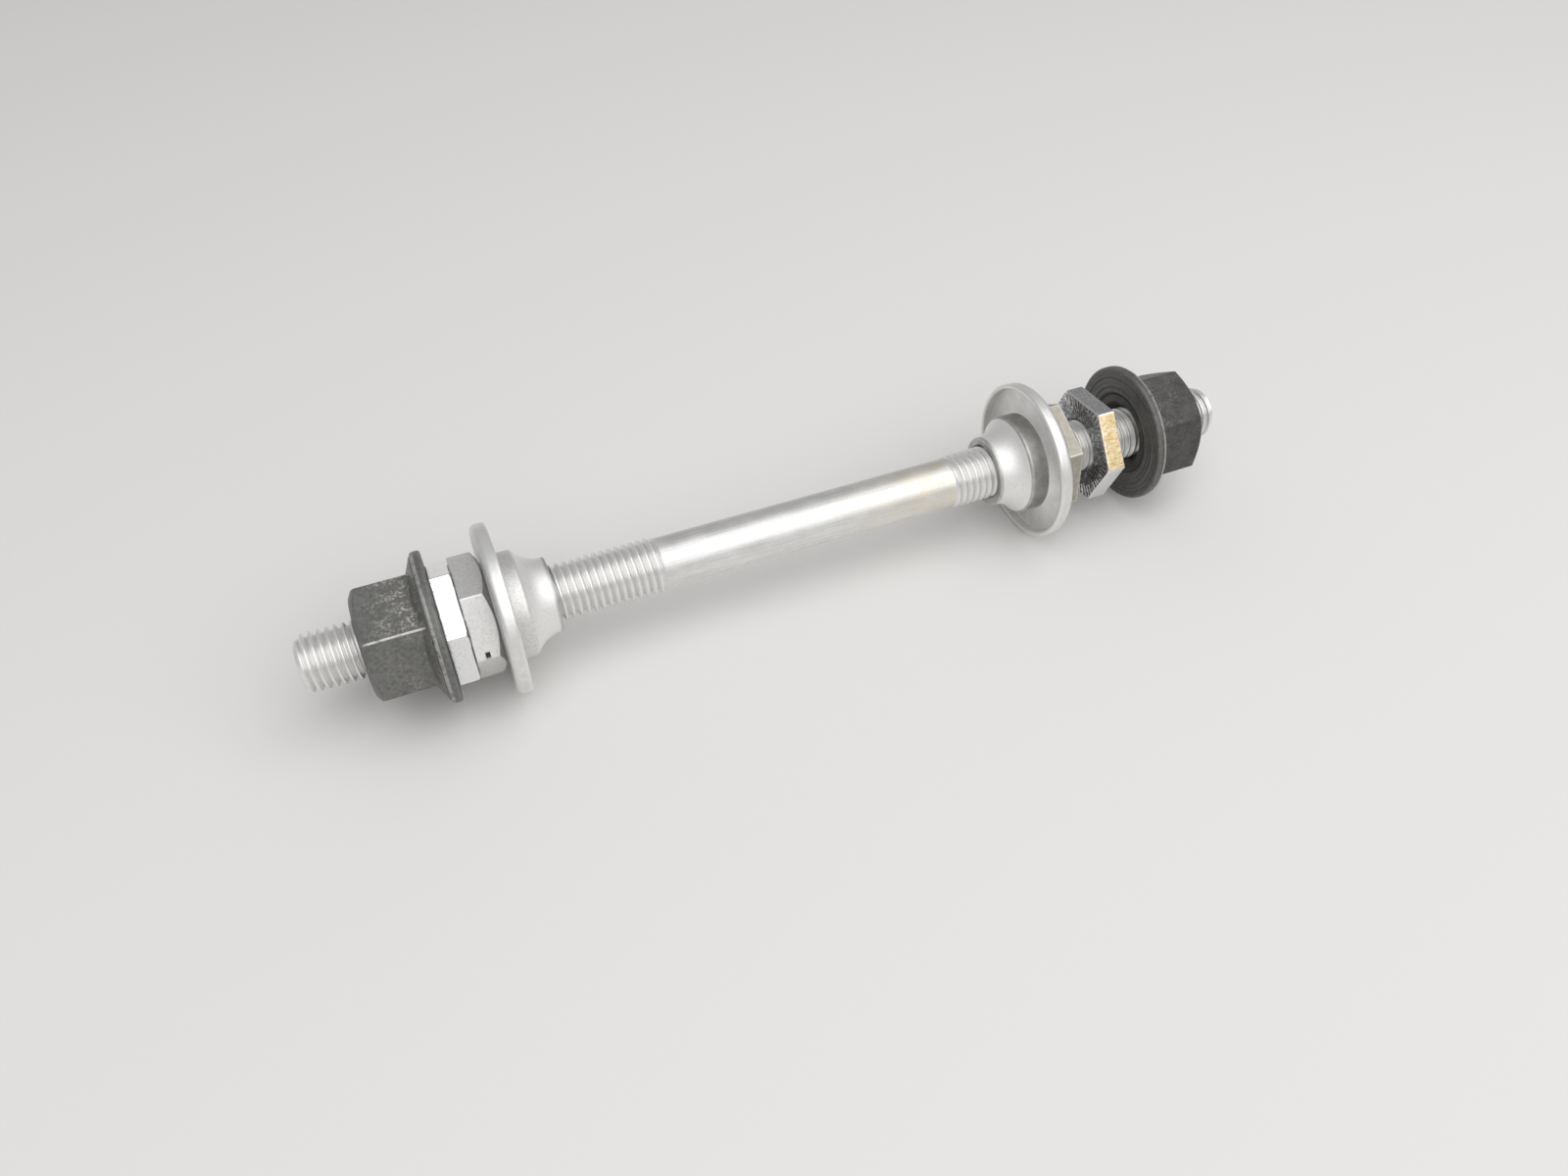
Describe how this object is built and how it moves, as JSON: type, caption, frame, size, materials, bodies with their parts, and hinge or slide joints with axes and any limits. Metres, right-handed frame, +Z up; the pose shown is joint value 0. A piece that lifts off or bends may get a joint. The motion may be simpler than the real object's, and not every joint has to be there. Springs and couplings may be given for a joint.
{
  "type": "hub axle",
  "caption": "Solid threaded bicycle hub axle with bearing cones, dust caps, thin lock nuts and black hexagonal axle nuts with captive washers at both ends.",
  "frame": {"origin": "the middle of the axle, on its axis", "axes": "+X along the axle to its right end, where the nuts stand apart; +Z up, square to the axle"},
  "size_m": [0.14, 0.0238, 0.0238],
  "materials": {
    "axle_zinc": "bright zinc plate, rolled threads",
    "cone_steel": "satin turned steel with a polished race",
    "cap_zinc": "dull zinc plate on pressed sheet",
    "bright_zinc": "bright, lightly scratched",
    "black_oxide": "matt black coating, scuffed at the edges"
  },
  "bodies": {
    "axle": {"axle": "axle_zinc"},
    "left_cone": {"left_cone": "cone_steel", "left_dust_cap": "cap_zinc"},
    "left_lock_nut": {"left_lock_nut": "bright_zinc"},
    "left_nut_washer": {"left_nut_washer": "black_oxide"},
    "left_axle_nut": {"left_axle_nut": "black_oxide"},
    "right_cone": {"right_cone": "cone_steel", "right_dust_cap": "cap_zinc"},
    "right_lock_nut": {"right_lock_nut": "bright_zinc"},
    "right_nut_washer": {"right_nut_washer": "black_oxide"},
    "right_axle_nut": {"right_axle_nut": "black_oxide"}
  },
  "joints": [
    {"name": "left_lock_nut_travel", "type": "slide", "parent": "axle", "child": "left_lock_nut", "axis": [1, 0, 0], "range_m": [0, 0.0073]},
    {"name": "left_cone_travel", "type": "slide", "parent": "left_lock_nut", "child": "left_cone", "axis": [1, 0, 0], "range_m": [0, 0.0073]},
    {"name": "left_washer_travel", "type": "slide", "parent": "axle", "child": "left_nut_washer", "axis": [-1, 0, 0], "range_m": [0, 0.0149]},
    {"name": "left_nut_turn", "type": "hinge", "parent": "left_nut_washer", "child": "left_axle_nut", "pos_m": [0, 0, 0], "axis": [-1, 0, 0], "range_deg": [0, 5040]},
    {"name": "right_cone_travel", "type": "slide", "parent": "axle", "child": "right_cone", "axis": [1, 0, 0], "range_m": [-0.0061, 0.0041]},
    {"name": "right_lock_nut_travel", "type": "slide", "parent": "axle", "child": "right_lock_nut", "axis": [1, 0, 0], "range_m": [-0.0041, 0.0045]},
    {"name": "right_washer_travel", "type": "slide", "parent": "axle", "child": "right_nut_washer", "axis": [1, 0, 0], "range_m": [-0.0043, 0.0117]},
    {"name": "right_nut_turn", "type": "hinge", "parent": "right_nut_washer", "child": "right_axle_nut", "pos_m": [0, 0, 0], "axis": [1, 0, 0], "range_deg": [-1440, 3960]}
  ],
  "couplings": [
    {"joint": "left_washer_travel", "follows": "left_nut_turn", "m_per_rad": 0.00016844},
    {"joint": "right_washer_travel", "follows": "right_nut_turn", "m_per_rad": 0.00016844}
  ]
}
